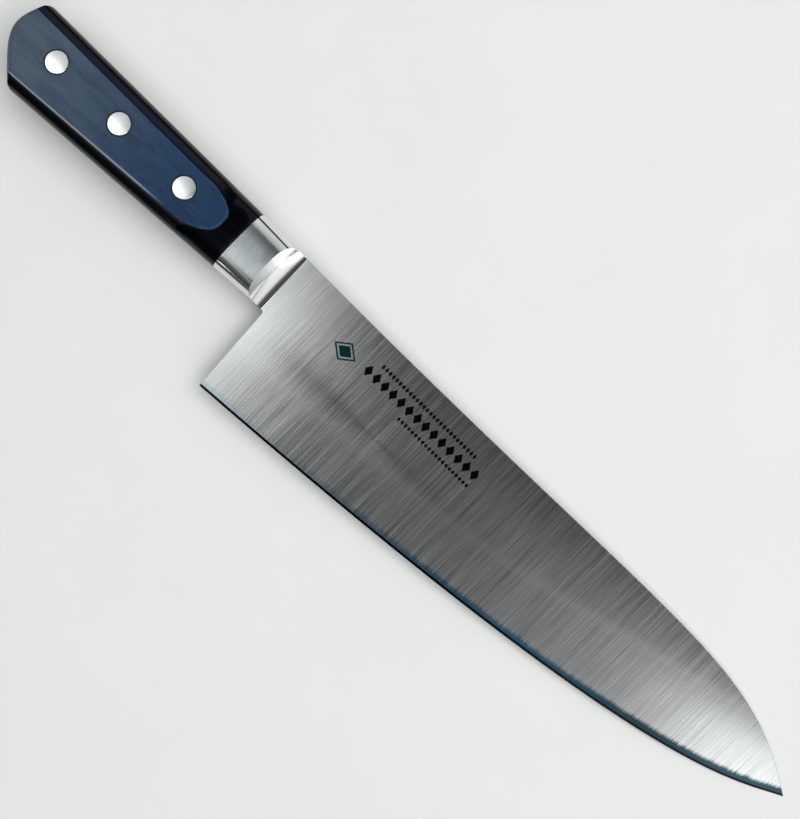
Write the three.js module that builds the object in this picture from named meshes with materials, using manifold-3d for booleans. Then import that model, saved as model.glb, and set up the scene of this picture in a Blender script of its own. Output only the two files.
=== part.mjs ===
/**
 * Chef knife with a full tang: one blade, two bolster halves, two handle scales and three
 * two-part cutler's rivets. All lengths are millimetres.
 *
 * +X runs along the rivet line from the handle to the tip, +Y points from the cutting edge to the
 * spine, and +Z comes out of the knife's right side. The origin lies on the lower flat of the
 * handle, on the rivet line, between the middle and the front rivet, so the knife rests on z = 0.
 *
 * Every piece is drawn about the blade's centre plane, and the whole knife is then lifted by half
 * the handle's thickness.
 */
import * as THREE from 'three';
import { mergeVertices } from 'three/addons/utils/BufferGeometryUtils.js';
import Module from 'manifold-3d';

const wasm = await Module();
wasm.setup();

const { lerp, smoothstep } = THREE.MathUtils;

// Handle.
const handleThickness = 18; // between the two ground flats
const handleHalf = handleThickness / 2;
const seamX = 42.25; // where the scales meet the bolster
const spineSideY = 12.6; // the handle's straight upper side
const spineSideDrop = 0.5; // how far that side falls over the bolster
const spineDropFrom = 38;
const spineDropTo = 60;
const bellySlope = 0.0633; // rise of the handle's lower side per millimetre
const bellyAtOrigin = -14.78;
const bellyHighest = -11; // the lower side is level from here to the neck
const crownAtOrigin = 9.436; // half thickness that the rounding would reach without the flats
const crownSlope = -0.0036;
const crownDrop = 0.854; // how far the crown falls towards the bolster
const crownDropFrom = 29.9;
const crownDropTo = 43;
const apexAtOrigin = -1.6; // Y of the crown's highest line
const apexSlope = 0.031;
const apexRise = 1.9;
const apexRiseFrom = 10;
const apexRiseTo = 45;
const squarenessBack = 4.2; // section exponent behind the tongue, where 2 is an ellipse
const squarenessFront = 3;
const squareFrom = 23.6;
const squareTo = 33.6;

// Butt end, seen square on to the flats.
const crownBackX = -63; // the rounded body starts behind the butt
const spineCorner = new THREE.Vector2(-55, spineSideY);
const spineCornerPull = new THREE.Vector2(-57.15, spineSideY);
const buttTop = new THREE.Vector2(-58.3, 10.3);
const buttTopPull = new THREE.Vector2(-64.1, -1.3);
const buttBottomPull = new THREE.Vector2(-62.8, -3.8);
const buttBottom = new THREE.Vector2(-50.3, -15.6);
const bellyCornerPull = new THREE.Vector2(-47.95, -17.82);
const bellyCorner = new THREE.Vector2(-46.4, -17.72);
const buttEase = 2; // rounding of the edge between butt and flat

// Tang and bolster.
const tangThickness = 2.5;
const tangHalf = tangThickness / 2;
const tangFrontX = 62;
const bolsterFrontX = 63.625;
const coveRadius = 8.5;
const coveLip = 0.15; // height of the bolster's front edge above the tang

// Blade.
const tip = new THREE.Vector2(305.6, -4.2);
const spineStart = new THREE.Vector2(63.4, 12.1);
const heel = new THREE.Vector2(66.75, -44.05);
const neckBottomY = -10.8;
const edgeHalf = 0.05; // half thickness of the cutting edge
const bevelHeight = 0.8;
const bevelSlope = 0.19; // half thickness gained per millimetre above the edge, on the bevel
const grindSlope = 0.0181; // and on the ground face above it
const neckRelief = 0.05; // how much thinner the neck is than the blade in front of it
const neckBackX = tangFrontX - 2;
const neckFrontX = 65.6;

const spineCurve = new THREE.CubicBezierCurve(
  spineStart, new THREE.Vector2(244.4, 10.8), new THREE.Vector2(266.3, 22.7), tip);
const edgeCurve = new THREE.CubicBezierCurve(
  heel, new THREE.Vector2(270, -31), new THREE.Vector2(289.1, -11.9), tip);

// Rivets.
const rivets = { rear: -41.6, middle: -12.4, front: 17.95 };
const headRadius = 4;
const headDepth = 3;
const tubeRadius = 2.5;
const tubeBore = 1.7;
const shankRadius = 1.6;
const fitGap = 0.1; // radial gap between a rivet and its hole
const endGap = 0.3; // gap between the end of one rivet half and the head of the other

// Fineness of the curved surfaces.
const crownSegments = 60;
const crownStations = 34;
const bladeStations = 44;
const bladeRows = 6;
const tipCrowding = 1.5; // above 1, the blade's stations stand closer towards the tip
const roundSegments = 32;
const arcSegments = 12;
const dropSteps = 6;
const easeSegments = 3;
const halvings = 40; // steps in the search for a curve's height at a given x
const margin = 1; // how far a blank runs past the face that is cut on it
const reach = 30; // and the same for a cutting block

/** A closed geometry as a solid that can be joined and cut. */
function toSolid(geometry) {
  const bare = geometry.clone();
  bare.deleteAttribute('normal');
  bare.deleteAttribute('uv');
  const merged = mergeVertices(bare);
  const corners = merged.index.array;
  const kept = [];
  for (let i = 0; i < corners.length; i += 3) {
    const [a, b, c] = corners.slice(i, i + 3);
    if (a !== b && b !== c && c !== a) {
      kept.push(a, b, c);
    }
  }
  return new wasm.Manifold(new wasm.Mesh({
    numProp: 3,
    vertProperties: Float32Array.from(merged.attributes.position.array),
    triVerts: Uint32Array.from(kept),
  }));
}

/** A solid as a geometry. */
function toGeometry(solid) {
  const { vertProperties, triVerts } = solid.getMesh();
  const geometry = new THREE.BufferGeometry();
  geometry.setAttribute('position', new THREE.BufferAttribute(vertProperties, 3));
  geometry.setIndex(new THREE.BufferAttribute(triVerts, 1));
  geometry.computeVertexNormals();
  return geometry;
}

/** The same geometry on the other side of the centre plane, with its faces still pointing out. */
function mirrored(geometry) {
  const other = geometry.clone().scale(1, 1, -1);
  const corners = other.index.array;
  for (let i = 0; i < corners.length; i += 3) {
    [corners[i], corners[i + 1]] = [corners[i + 1], corners[i]];
  }
  other.computeVertexNormals();
  return other;
}

/** A rectangular block between two corners. */
function block(low, high) {
  const size = new THREE.Vector3().subVectors(high, low);
  const centre = new THREE.Vector3().addVectors(low, high).multiplyScalar(0.5);
  return new THREE.BoxGeometry(size.x, size.y, size.z).translate(centre.x, centre.y, centre.z);
}

/** A round bar along Z between two heights, centred on the rivet line. */
function roundBar(x, radius, lowZ, highZ) {
  return new THREE.CylinderGeometry(radius, radius, highZ - lowZ, roundSegments)
    .rotateX(Math.PI / 2)
    .translate(x, 0, (lowZ + highZ) / 2);
}

/** Y of the handle's upper side at x. */
function spineSide(x) {
  return spineSideY - spineSideDrop * smoothstep(x, spineDropFrom, spineDropTo);
}

/** Y of the handle's lower side at x. */
function bellySide(x) {
  return Math.min(bellyHighest, bellyAtOrigin + bellySlope * x);
}

/** Half thickness of the handle's rounding at x, before the flats are ground. */
function crownHeight(x) {
  return crownAtOrigin + crownSlope * x - crownDrop * smoothstep(x, crownDropFrom, crownDropTo);
}

/** Y of the crown's highest line at x. */
function apexY(x) {
  return apexAtOrigin + apexSlope * x + apexRise * smoothstep(x, apexRiseFrom, apexRiseTo);
}

/** Height of a curve that runs forwards in x, at x. */
function heightAt(curve, x) {
  let low = 0;
  let high = 1;
  for (let step = 0; step < halvings; step += 1) {
    const middle = (low + high) / 2;
    if (curve.getPoint(middle).x < x) {
      low = middle;
    } else {
      high = middle;
    }
  }
  return curve.getPoint(high).y;
}

/**
 * The rounded body that the scales and the bolster are cut from. Its section is two half
 * superellipses that meet on the crown's highest line.
 */
function crownedBody() {
  const geometry = new THREE.CylinderGeometry(1, 1, 1, crownSegments, crownStations);
  const position = geometry.attributes.position;
  for (let i = 0; i < position.count; i += 1) {
    const x = lerp(crownBackX, bolsterFrontX + margin, position.getY(i) + 0.5);
    const apex = apexY(x);
    const squareness = lerp(squarenessBack, squarenessFront, smoothstep(x, squareFrom, squareTo));
    const power = 2 / squareness;
    const across = position.getZ(i);
    const out = position.getX(i);
    const reachY = across > 0 ? spineSide(x) - apex : apex - bellySide(x);
    const y = apex + reachY * Math.sign(across) * Math.abs(across) ** power;
    const z = crownHeight(x) * Math.sign(out) * Math.abs(out) ** power;
    position.setXYZ(i, x, y, z);
  }
  return geometry;
}

/** Adds the curved butt end to an outline, from the corner at the spine side to the belly. */
function addButt(outline) {
  outline.lineTo(spineCorner.x, spineCorner.y);
  outline.quadraticCurveTo(spineCornerPull.x, spineCornerPull.y, buttTop.x, buttTop.y);
  outline.bezierCurveTo(
    buttTopPull.x, buttTopPull.y, buttBottomPull.x, buttBottomPull.y, buttBottom.x, buttBottom.y);
  outline.quadraticCurveTo(bellyCornerPull.x, bellyCornerPull.y, bellyCorner.x, bellyCorner.y);
}

/** A block whose rear end is the butt, with a rounded edge on its outer face. */
function buttBlock() {
  const outline = new THREE.Shape();
  outline.moveTo(seamX + reach, reach);
  outline.lineTo(spineCorner.x, reach);
  addButt(outline);
  outline.lineTo(bellyCorner.x, -reach);
  outline.lineTo(seamX + reach, -reach);
  return new THREE.ExtrudeGeometry(outline, {
    depth: handleThickness,
    curveSegments: arcSegments,
    bevelThickness: buttEase,
    bevelSize: buttEase,
    bevelOffset: -buttEase,
    bevelSegments: easeSegments,
  }).translate(0, 0, handleHalf - buttEase - handleThickness);
}

/** Outline of the tang, which is flush with the handle all round. */
function tangOutline() {
  const outline = new THREE.Shape();
  outline.moveTo(tangFrontX, bellySide(tangFrontX));
  outline.lineTo(tangFrontX, spineSide(tangFrontX));
  for (let step = 0; step <= dropSteps; step += 1) {
    const x = lerp(spineDropTo, spineDropFrom, step / dropSteps);
    outline.lineTo(x, spineSide(x));
  }
  addButt(outline);
  for (const x of Object.values(rivets)) {
    outline.holes.push(new THREE.Path().absarc(x, 0, tubeRadius + fitGap, 0, 2 * Math.PI));
  }
  return outline;
}

/** Half thickness of the blade at a distance above the cutting edge. */
function bladeHalf(rise) {
  const bevel = Math.min(rise, bevelHeight);
  return edgeHalf + bevelSlope * bevel + grindSlope * (rise - bevel);
}

/** The ground blade: a box whose grid is drawn out between the cutting edge and the spine. */
function groundBlade() {
  const geometry = new THREE.BoxGeometry(1, 1, 1, bladeStations, bladeRows, 1);
  const position = geometry.attributes.position;
  for (let i = 0; i < position.count; i += 1) {
    const along = 1 - (0.5 - position.getX(i)) ** tipCrowding;
    const row = Math.round((position.getY(i) + 0.5) * bladeRows);
    const low = new THREE.Vector2(lerp(heel.x, tip.x, along), 0);
    const high = new THREE.Vector2(lerp(spineStart.x, tip.x, along), 0);
    low.y = heightAt(edgeCurve, low.x);
    high.y = heightAt(spineCurve, high.x);
    const height = high.y - low.y;
    const bevel = Math.min(bevelHeight, height / bladeRows);
    const rise = row === 0 ? 0 : lerp(bevel, height, (row - 1) / (bladeRows - 1));
    const share = height > 0 ? rise / height : 0;
    const point = new THREE.Vector2().lerpVectors(low, high, share);
    position.setXYZ(i, point.x, point.y, Math.sign(position.getZ(i)) * bladeHalf(rise));
  }
  return geometry;
}

/** The short neck between bolster and blade, with the blade's own taper. */
function neck() {
  const geometry = block(
    new THREE.Vector3(neckBackX, neckBottomY, -tangHalf),
    new THREE.Vector3(neckFrontX, spineStart.y, tangHalf));
  const position = geometry.attributes.position;
  for (let i = 0; i < position.count; i += 1) {
    const half = bladeHalf(position.getY(i) - heel.y) - neckRelief;
    position.setZ(i, Math.sign(position.getZ(i)) * half);
  }
  return geometry;
}

/** Blade, neck and tang in one piece. */
function blade() {
  const tang = new THREE.ExtrudeGeometry(tangOutline(), {
    depth: tangThickness,
    curveSegments: arcSegments,
    bevelEnabled: false,
  }).translate(0, 0, -tangHalf);
  return toGeometry(toSolid(groundBlade()).add(toSolid(neck())).add(toSolid(tang)));
}

/** The part of the rounded body on the right side of the tang, between two stations. */
function rightShell(backX, frontX) {
  const room = block(
    new THREE.Vector3(backX, -reach, tangHalf), new THREE.Vector3(frontX, reach, handleHalf));
  return toSolid(crownedBody()).intersect(toSolid(room));
}

/** The right handle scale, with a stepped hole for each rivet. */
function rightScale() {
  let scale = rightShell(crownBackX, seamX).intersect(toSolid(buttBlock()));
  for (const x of Object.values(rivets)) {
    const hole = roundBar(x, tubeRadius + fitGap, 0, handleThickness);
    const seat = roundBar(x, headRadius + fitGap, handleHalf - headDepth, handleThickness);
    scale = scale.subtract(toSolid(hole)).subtract(toSolid(seat));
  }
  return toGeometry(scale);
}

/** The right bolster half, whose front is hollowed down to the blade. */
function rightBolster() {
  const lipZ = tangHalf + coveLip;
  const centreZ = lipZ + coveRadius;
  const profile = new THREE.Shape();
  profile.moveTo(bolsterFrontX + margin, lipZ);
  profile.absarc(bolsterFrontX, centreZ, coveRadius, -Math.PI / 2, -Math.PI, true);
  profile.lineTo(bolsterFrontX - coveRadius, reach);
  profile.lineTo(bolsterFrontX + margin, reach);
  const cove = new THREE.ExtrudeGeometry(profile, {
    depth: 2 * reach,
    curveSegments: arcSegments,
    bevelEnabled: false,
  }).rotateX(Math.PI / 2).translate(0, reach, 0);
  return toGeometry(rightShell(seamX, bolsterFrontX).subtract(toSolid(cove)));
}

/** A turned rivet half standing on Z, from radius and height pairs that start and end on the axis. */
function turned(profile) {
  const points = profile.map(([radius, z]) => new THREE.Vector2(radius, z));
  return new THREE.LatheGeometry(points, roundSegments).rotateX(Math.PI / 2);
}

/** The rivet half with a tube, head up. */
function rivetSocket() {
  const underHead = handleHalf - headDepth;
  const tubeEnd = endGap - underHead;
  const boreEnd = underHead - endGap;
  return turned([
    [0, boreEnd], [tubeBore, boreEnd], [tubeBore, tubeEnd], [tubeRadius, tubeEnd],
    [tubeRadius, underHead], [headRadius, underHead], [headRadius, handleHalf], [0, handleHalf],
  ]);
}

/** The rivet half with a solid shank, head down. */
function rivetPin() {
  const aboveHead = headDepth - handleHalf;
  const shankEnd = handleHalf - headDepth - 2 * endGap;
  return turned([
    [0, -handleHalf], [headRadius, -handleHalf], [headRadius, aboveHead],
    [shankRadius, aboveHead], [shankRadius, shankEnd], [0, shankEnd],
  ]);
}

/** A named mesh at a station on the rivet line. */
function piece(name, geometry, material, x = 0) {
  const mesh = new THREE.Mesh(geometry, new THREE.MeshStandardMaterial(material));
  mesh.name = name;
  mesh.position.x = x;
  return mesh;
}

const satinSteel = { color: 0xa9adae, roughness: 0.35, metalness: 1 };
const brushedSteel = { color: 0x9aa0a6, roughness: 0.3, metalness: 1 };
const laminatedWood = { color: 0x14171d, roughness: 0.3, metalness: 0 };
const polishedSteel = { color: 0xe2e3e2, roughness: 0.2, metalness: 1 };

const scaleShape = rightScale();
const bolsterShape = rightBolster();

const knife = new THREE.Group();
knife.position.z = handleHalf;
knife.add(piece('blade', blade(), satinSteel));
knife.add(piece('bolster_right', bolsterShape, brushedSteel));
knife.add(piece('bolster_left', mirrored(bolsterShape), brushedSteel));
knife.add(piece('scale_right', scaleShape, laminatedWood));
knife.add(piece('scale_left', mirrored(scaleShape), laminatedWood));
for (const [place, x] of Object.entries(rivets)) {
  knife.add(piece(`rivet_socket_${place}`, rivetSocket(), polishedSteel, x));
  knife.add(piece(`rivet_pin_${place}`, rivetPin(), polishedSteel, x));
}

export default knife;
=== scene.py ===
"""Chef knife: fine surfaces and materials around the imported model.

Outlines are worked out in millimetres in the frame's own axes, with z measured from the blade's
centre plane, and turned into metres when a mesh is made.
"""

import math

import bmesh
import bpy
import numpy as np
from mathutils import Matrix, Vector


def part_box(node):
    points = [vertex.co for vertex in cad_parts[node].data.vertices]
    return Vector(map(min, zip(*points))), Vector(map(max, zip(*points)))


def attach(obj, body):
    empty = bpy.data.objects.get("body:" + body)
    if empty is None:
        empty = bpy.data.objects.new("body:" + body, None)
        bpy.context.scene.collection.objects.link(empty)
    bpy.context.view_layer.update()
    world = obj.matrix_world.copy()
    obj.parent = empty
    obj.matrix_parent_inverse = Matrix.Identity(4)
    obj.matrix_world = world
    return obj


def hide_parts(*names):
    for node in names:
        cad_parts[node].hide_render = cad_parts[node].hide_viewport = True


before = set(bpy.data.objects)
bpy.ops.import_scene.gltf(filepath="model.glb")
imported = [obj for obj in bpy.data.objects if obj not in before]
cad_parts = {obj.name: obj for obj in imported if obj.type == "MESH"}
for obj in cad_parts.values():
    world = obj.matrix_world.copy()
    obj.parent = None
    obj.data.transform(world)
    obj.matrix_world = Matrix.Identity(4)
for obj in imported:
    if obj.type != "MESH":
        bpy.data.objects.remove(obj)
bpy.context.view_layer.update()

MM = 0.001


def mm_box(node):
    """A node's box in millimetres."""
    low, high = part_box(node)
    return Vector(low) / MM, Vector(high) / MM


def middle_x(node):
    """X of the middle of a node's box, in millimetres."""
    low, high = mm_box(node)
    return (low.x + high.x) / 2


blade_low, blade_high = mm_box("blade")
scale_low, scale_high = mm_box("scale_right")
bolster_low, bolster_high = mm_box("bolster_right")

# ---------------------------------------------------------------- dimensions, in millimetres

CENTRE_Z = (blade_low.z + blade_high.z) / 2
HANDLE_HALF = scale_high.z - CENTRE_Z
TANG_HALF = scale_low.z - CENTRE_Z
SEAM_X = bolster_low.x
FRONT_X = bolster_high.x
TIP_X = blade_high.x

# Handle section: two half superellipses that meet on the crown's highest line.
SPINE_SIDE_Y = scale_high.y
SPINE_SIDE_DROP = 0.5
SPINE_DROP_FROM = 38
SPINE_DROP_TO = 60
BELLY_SLOPE = 0.0633
BELLY_AT_ORIGIN = -14.78
BELLY_HIGHEST = -11
CROWN_AT_ORIGIN = 9.436
CROWN_SLOPE = -0.0036
CROWN_DROP = 0.854
CROWN_DROP_FROM = 29.9
CROWN_DROP_TO = 43
APEX_AT_ORIGIN = -1.6
APEX_SLOPE = 0.031
APEX_RISE = 1.9
APEX_RISE_FROM = 10
APEX_RISE_TO = 45
SQUARENESS_BACK = 4.2
SQUARENESS_FRONT = 3
SQUARE_FROM = 23.6
SQUARE_TO = 33.6

# Butt end, seen square on to the flats.
SPINE_CORNER = (-55, 12.6)
SPINE_PULL = (-57.15, 12.6)
BUTT_TOP = (-58.3, 10.3)
BUTT_PULLS = ((-63.6, -1.3), (-62.3, -3.8))
BUTT_LOW = (-50.3, -15.6)
BELLY_PULL = (-47.95, -17.82)
BELLY_CORNER = (-46.4, -17.72)
BUTT_EASE = 1.2  # rounding of the edge between butt and flat, at the spine corner
BUTT_EASE_EXTRA = 1.4  # and how much wider it grows towards the belly
CREASE_EASE = 0.12  # rounding where the flat meets the rounded side

# Bolster.
COVE_LENGTH = 9.2  # half axis along the knife of the ellipse that the hollow follows
COVE_STEEPNESS = 16  # the ellipse's other half axis, upwards
COVE_END_X = FRONT_X - 0.7  # where the hollow runs out into a narrow flat land
COVE_SHORTENING = 1.0  # how much shorter the hollow is at the bolster's sides
COVE_SIDE_POWER = 2.5  # how late it shortens, on the way out to the sides
LIP = 0.2  # height and rounding of the bolster's front edge
LAND_MARGIN = 0.03  # keeps the shading of the land flat up to its borders

# Blade.
HEEL = (66.75, blade_low.y)
SPINE_START = (63.4, 12.1)
TIP = (TIP_X, -4.2)
EDGE_CURVE = (HEEL, (270, -31), (289.1, -11.9), TIP)
SPINE_CURVE = (SPINE_START, (244.4, 10.8), (266.3, 22.7), TIP)
LAST_SECTION = 0.9996  # how far along the knife the last section before the tip is
EDGE_HALF = 0.05  # half the thickness left at the cutting edge
BEVEL_HEIGHT = 0.75
BEVEL_SLOPE = 0.28
GRIND_SLOPE = 0.0262  # of each face, from the bevel up
UPPER_SLOPE = 0.0134  # and above the soft line where the faces grow more parallel
GRIND_HEIGHT = 20  # distance from the edge to that line
GRIND_BLEND = 7  # and the width over which the slope changes
CORNER_EASE = 0.22  # bevel on the blade's back and rear corners

# Neck between bolster and blade.
NECK_LOW_Y = -10.9
NECK_BACK_X = FRONT_X - 1.5
NECK_OVERLAP = 0.4  # how far it reaches into the blade
NECK_INSET = 0.002  # how far its faces lie below the blade's, so that the two join cleanly
CHOIL_FILLET = 0.8

# Tang and rivets.
TANG_GAP = 0.004  # between tang and scales
HEAD_RADIUS = 4
HEAD_DEPTH = 3
HEAD_EASE = 0.25  # rounding of a head's rim
TUBE_RADIUS = 2.5
TUBE_BORE = 1.7
SHANK_RADIUS = 1.6
FIT_GAP = 0.1  # between a rivet and its hole
END_GAP = 0.3  # beyond the ends of tube and shank
RIVET_X = {place: middle_x(f"rivet_socket_{place}") for place in ("rear", "middle", "front")}


def smooth(value, low, high):
    """0 below low, 1 above high and a smooth rise between."""
    share = min(max((value - low) / (high - low), 0), 1)
    return share * share * (3 - 2 * share)


def lerp(low, high, share):
    """The value a share of the way from low to high."""
    return low + (high - low) * share


def bezier(points, share):
    """A point on a cubic curve."""
    weights = [(1 - share) ** 3, 3 * (1 - share) ** 2 * share, 3 * (1 - share) * share**2, share**3]
    return tuple(sum(w * p[axis] for w, p in zip(weights, points)) for axis in (0, 1))


def height_at(points, x):
    """Height at x of a cubic curve that runs forwards in x."""
    low, high = 0.0, 1.0
    for _ in range(40):
        middle = (low + high) / 2
        if bezier(points, middle)[0] < x:
            low = middle
        else:
            high = middle
    return bezier(points, high)[1]


def spine_side(x):
    """Y of the handle's spine side."""
    return SPINE_SIDE_Y - SPINE_SIDE_DROP * smooth(x, SPINE_DROP_FROM, SPINE_DROP_TO)


def belly_side(x):
    """Y of the handle's belly side."""
    return min(BELLY_HIGHEST, BELLY_AT_ORIGIN + BELLY_SLOPE * x)


def crown_height(x):
    """Height of the rounded section's highest line above the centre plane."""
    drop = CROWN_DROP * smooth(x, CROWN_DROP_FROM, CROWN_DROP_TO)
    return CROWN_AT_ORIGIN + CROWN_SLOPE * x - drop


def section_power(x):
    """Power of the sine and cosine that draw the section: 1 is an ellipse, less is squarer."""
    return 2 / lerp(SQUARENESS_BACK, SQUARENESS_FRONT, smooth(x, SQUARE_FROM, SQUARE_TO))


def apex_y(x):
    """Y of the rounded section's highest line."""
    return APEX_AT_ORIGIN + APEX_SLOPE * x + APEX_RISE * smooth(x, APEX_RISE_FROM, APEX_RISE_TO)


def crown_point(x, angle):
    """A point of the handle's rounded section. Angle 0 is the spine side and pi the belly side."""
    apex = apex_y(x)
    power = section_power(x)
    across, out = math.cos(angle), math.sin(angle)
    reach = spine_side(x) - apex if across > 0 else apex - belly_side(x)
    y = apex + reach * math.copysign(abs(across) ** power, across)
    z = crown_height(x) * math.copysign(abs(out) ** power, out)
    return y, z


def angle_at(x, z):
    """The angle at which the rounded section at x is z above the centre plane."""
    return math.asin(min(1, z / crown_height(x)) ** (1 / section_power(x)))


# ---------------------------------------------------------------- mesh helpers


def object_from(name, work):
    """Links a new object made from a bmesh whose units are millimetres about the centre plane."""
    work.transform(Matrix.Scale(MM, 4) @ Matrix.Translation((0, 0, CENTRE_Z)))
    mesh = bpy.data.meshes.new(name)
    work.to_mesh(mesh)
    work.free()
    obj = bpy.data.objects.new(name, mesh)
    bpy.context.scene.collection.objects.link(obj)
    return obj


def combine(obj, tool, operation):
    """Joins tool to obj, or cuts obj with it, and removes tool."""
    modifier = obj.modifiers.new("combine", "BOOLEAN")
    modifier.operation = operation
    modifier.solver = "EXACT"
    modifier.object = tool
    graph = bpy.context.evaluated_depsgraph_get()
    result = bpy.data.meshes.new_from_object(obj.evaluated_get(graph))
    obj.modifiers.clear()
    obj.data = result
    bpy.data.objects.remove(tool, do_unlink=True)


def finish_surface(obj, sharp_degrees, material):
    """Smooth shading that keeps edges sharper than an angle, and one material."""
    mesh = obj.data
    mesh.polygons.foreach_set("use_smooth", [True] * len(mesh.polygons))
    mesh.set_sharp_from_angle(angle=math.radians(sharp_degrees))
    mesh.materials.clear()
    mesh.materials.append(material)
    mesh.update()


def add_layer(obj, name, value_at):
    """Stores a value at every vertex, worked out from its x and y in millimetres."""
    layer = obj.data.attributes.new(name, "FLOAT", "POINT")
    values = [value_at(vert.co.x / MM, vert.co.y / MM) for vert in obj.data.vertices]
    layer.data.foreach_set("value", values)


def rings_to_solid(rings):
    """A closed bmesh skin over rings of equally many points."""
    work = bmesh.new()
    loops = [[work.verts.new(point) for point in ring] for ring in rings]
    count = len(rings[0])
    for back, ahead in zip(loops, loops[1:]):
        for i in range(count):
            after = (i + 1) % count
            work.faces.new((back[i], back[after], ahead[after], ahead[i]))
    work.faces.new(list(reversed(loops[0])))
    work.faces.new(loops[-1])
    bmesh.ops.recalc_face_normals(work, faces=work.faces)
    return work


def prism(outline, low_z, high_z):
    """A closed prism over an outline of (x, y) points."""
    return rings_to_solid([[(x, y, z) for x, y in outline] for z in (low_z, high_z)])


def mirror_copy(obj, name):
    """The same piece on the other side of the blade."""
    work = bmesh.new()
    work.from_mesh(obj.data)
    flip = Matrix.Translation((0, 0, 2 * CENTRE_Z * MM)) @ Matrix.Scale(-1, 4, (0, 0, 1))
    work.transform(flip)
    bmesh.ops.reverse_faces(work, faces=work.faces)
    mesh = bpy.data.meshes.new(name)
    work.to_mesh(mesh)
    work.free()
    twin = bpy.data.objects.new(name, mesh)
    bpy.context.scene.collection.objects.link(twin)
    return twin


# ---------------------------------------------------------------- shapes


def quadratic(points, share):
    """A point on a quadratic curve."""
    weights = ((1 - share) ** 2, 2 * share * (1 - share), share * share)
    return tuple(sum(w * p[axis] for w, p in zip(weights, points)) for axis in (0, 1))


def butt_curve(steps=40, corner_steps=8):
    """Points of the butt from its spine corner round to the belly."""
    points = [quadratic((SPINE_CORNER, SPINE_PULL, BUTT_TOP), i / corner_steps)
              for i in range(corner_steps)]
    points += [bezier((BUTT_TOP, *BUTT_PULLS, BUTT_LOW), i / steps) for i in range(steps)]
    points += [quadratic((BUTT_LOW, BELLY_PULL, BELLY_CORNER), i / corner_steps)
               for i in range(corner_steps + 1)]
    return points


def inset_line(points, distances):
    """The line moved to its left-hand side, which is forwards for the butt."""
    moved = []
    for i, (x, y) in enumerate(points):
        before = points[max(i - 1, 0)]
        after = points[min(i + 1, len(points) - 1)]
        along = Vector((after[0] - before[0], after[1] - before[1])).normalized()
        moved.append((x - along.y * distances[i], y + along.x * distances[i]))
    return moved


def butt_block():
    """A block whose rear end is the butt, with a rounded edge towards the flat."""
    wide, tall = 40, 5  # how far the block reaches beyond the handle
    curve = butt_curve()
    eases = []
    for i in range(len(curve)):
        share = i / (len(curve) - 1)
        growth = smooth(share, 0.1, 0.6) * (1 - 0.5 * smooth(share, 0.8, 1))
        eases.append(BUTT_EASE + BUTT_EASE_EXTRA * growth)
    steps = 10
    rings = []
    for i in range(-1, steps + 2):
        turn = math.pi / 2 * min(max(i, 0), steps) / steps
        line = inset_line(curve, [ease * (1 - math.cos(turn)) for ease in eases])
        heights = [HANDLE_HALF - ease * (1 - math.sin(turn)) for ease in eases]
        if i < 0:
            heights = [-tall] * len(curve)
        if i > steps:
            heights = [HANDLE_HALF + tall] * len(curve)
        ring = [(SEAM_X + wide, wide, heights[0]), (line[0][0], wide, heights[0])]
        ring += [(x, y, z) for (x, y), z in zip(line, heights)]
        ring += [(line[-1][0], -wide, heights[-1]), (SEAM_X + wide, -wide, heights[-1])]
        rings.append(ring)
    return object_from("butt_block", rings_to_solid(rings))


def soft_minimum(first, second, width):
    """The lower of two heights, with a rounded change from one to the other."""
    overlap = max(width - abs(first - second), 0) / width
    return min(first, second) - overlap * overlap * width / 4


def scale_ring(x):
    """Section of the right scale, from its spine side over the flat to its belly side."""
    steps = 150
    start = angle_at(x, TANG_HALF)
    ring = []
    for i in range(steps + 1):
        y, z = crown_point(x, lerp(start, math.pi - start, i / steps))
        ring.append((x, y, soft_minimum(z, HANDLE_HALF, CREASE_EASE)))
    return ring


def ground_depth(x, y):
    """How far the rounding would stand above the flat, or how far it lies below it."""
    apex = apex_y(x)
    reach = spine_side(x) - apex if y > apex else apex - belly_side(x)
    power = 2 / section_power(x)
    share = min(abs(y - apex) / reach, 1)
    return crown_height(x) * (1 - share**power) ** (1 / power) - HANDLE_HALF


def round_cutter(x, radius, low_z, high_z, points=96):
    """A cylinder on the rivet line, to cut a hole with."""
    outline = []
    for k in range(points):
        turn = 2 * math.pi * k / points
        outline.append((x + radius * math.cos(turn), radius * math.sin(turn)))
    return object_from("cutter", prism(outline, low_z, high_z))


def handle_scale():
    """The right scale: rounded body, ground flat, rounded butt edge and stepped rivet holes."""
    stations = 190
    below, above = -2, 12  # beyond the scale on either side
    back = min(x for x, _ in butt_curve()) - 1
    rings = [scale_ring(lerp(back, SEAM_X, i / stations)) for i in range(stations + 1)]
    scale = object_from("scale_right_fine", rings_to_solid(rings))
    combine(scale, butt_block(), "INTERSECT")
    for x in RIVET_X.values():
        combine(scale, round_cutter(x, TUBE_RADIUS + FIT_GAP, below, above), "DIFFERENCE")
        seat = round_cutter(x, HEAD_RADIUS + FIT_GAP, HANDLE_HALF - HEAD_DEPTH, above)
        combine(scale, seat, "DIFFERENCE")
    add_layer(scale, "ground", ground_depth)
    return scale


def cove_length(share):
    """Length of the hollow at the bolster's front, which is shorter towards both sides."""
    across = abs(math.cos(math.pi * share)) ** section_power(FRONT_X)
    return COVE_LENGTH - COVE_SHORTENING * across**COVE_SIDE_POWER


def cove_point(length, turn):
    """A point of the hollow's quarter ellipse, which starts level with the front lip's top."""
    x = COVE_END_X - length * math.sin(turn)
    return x, TANG_HALF + LIP + COVE_STEEPNESS * (1 - math.cos(turn))


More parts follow.
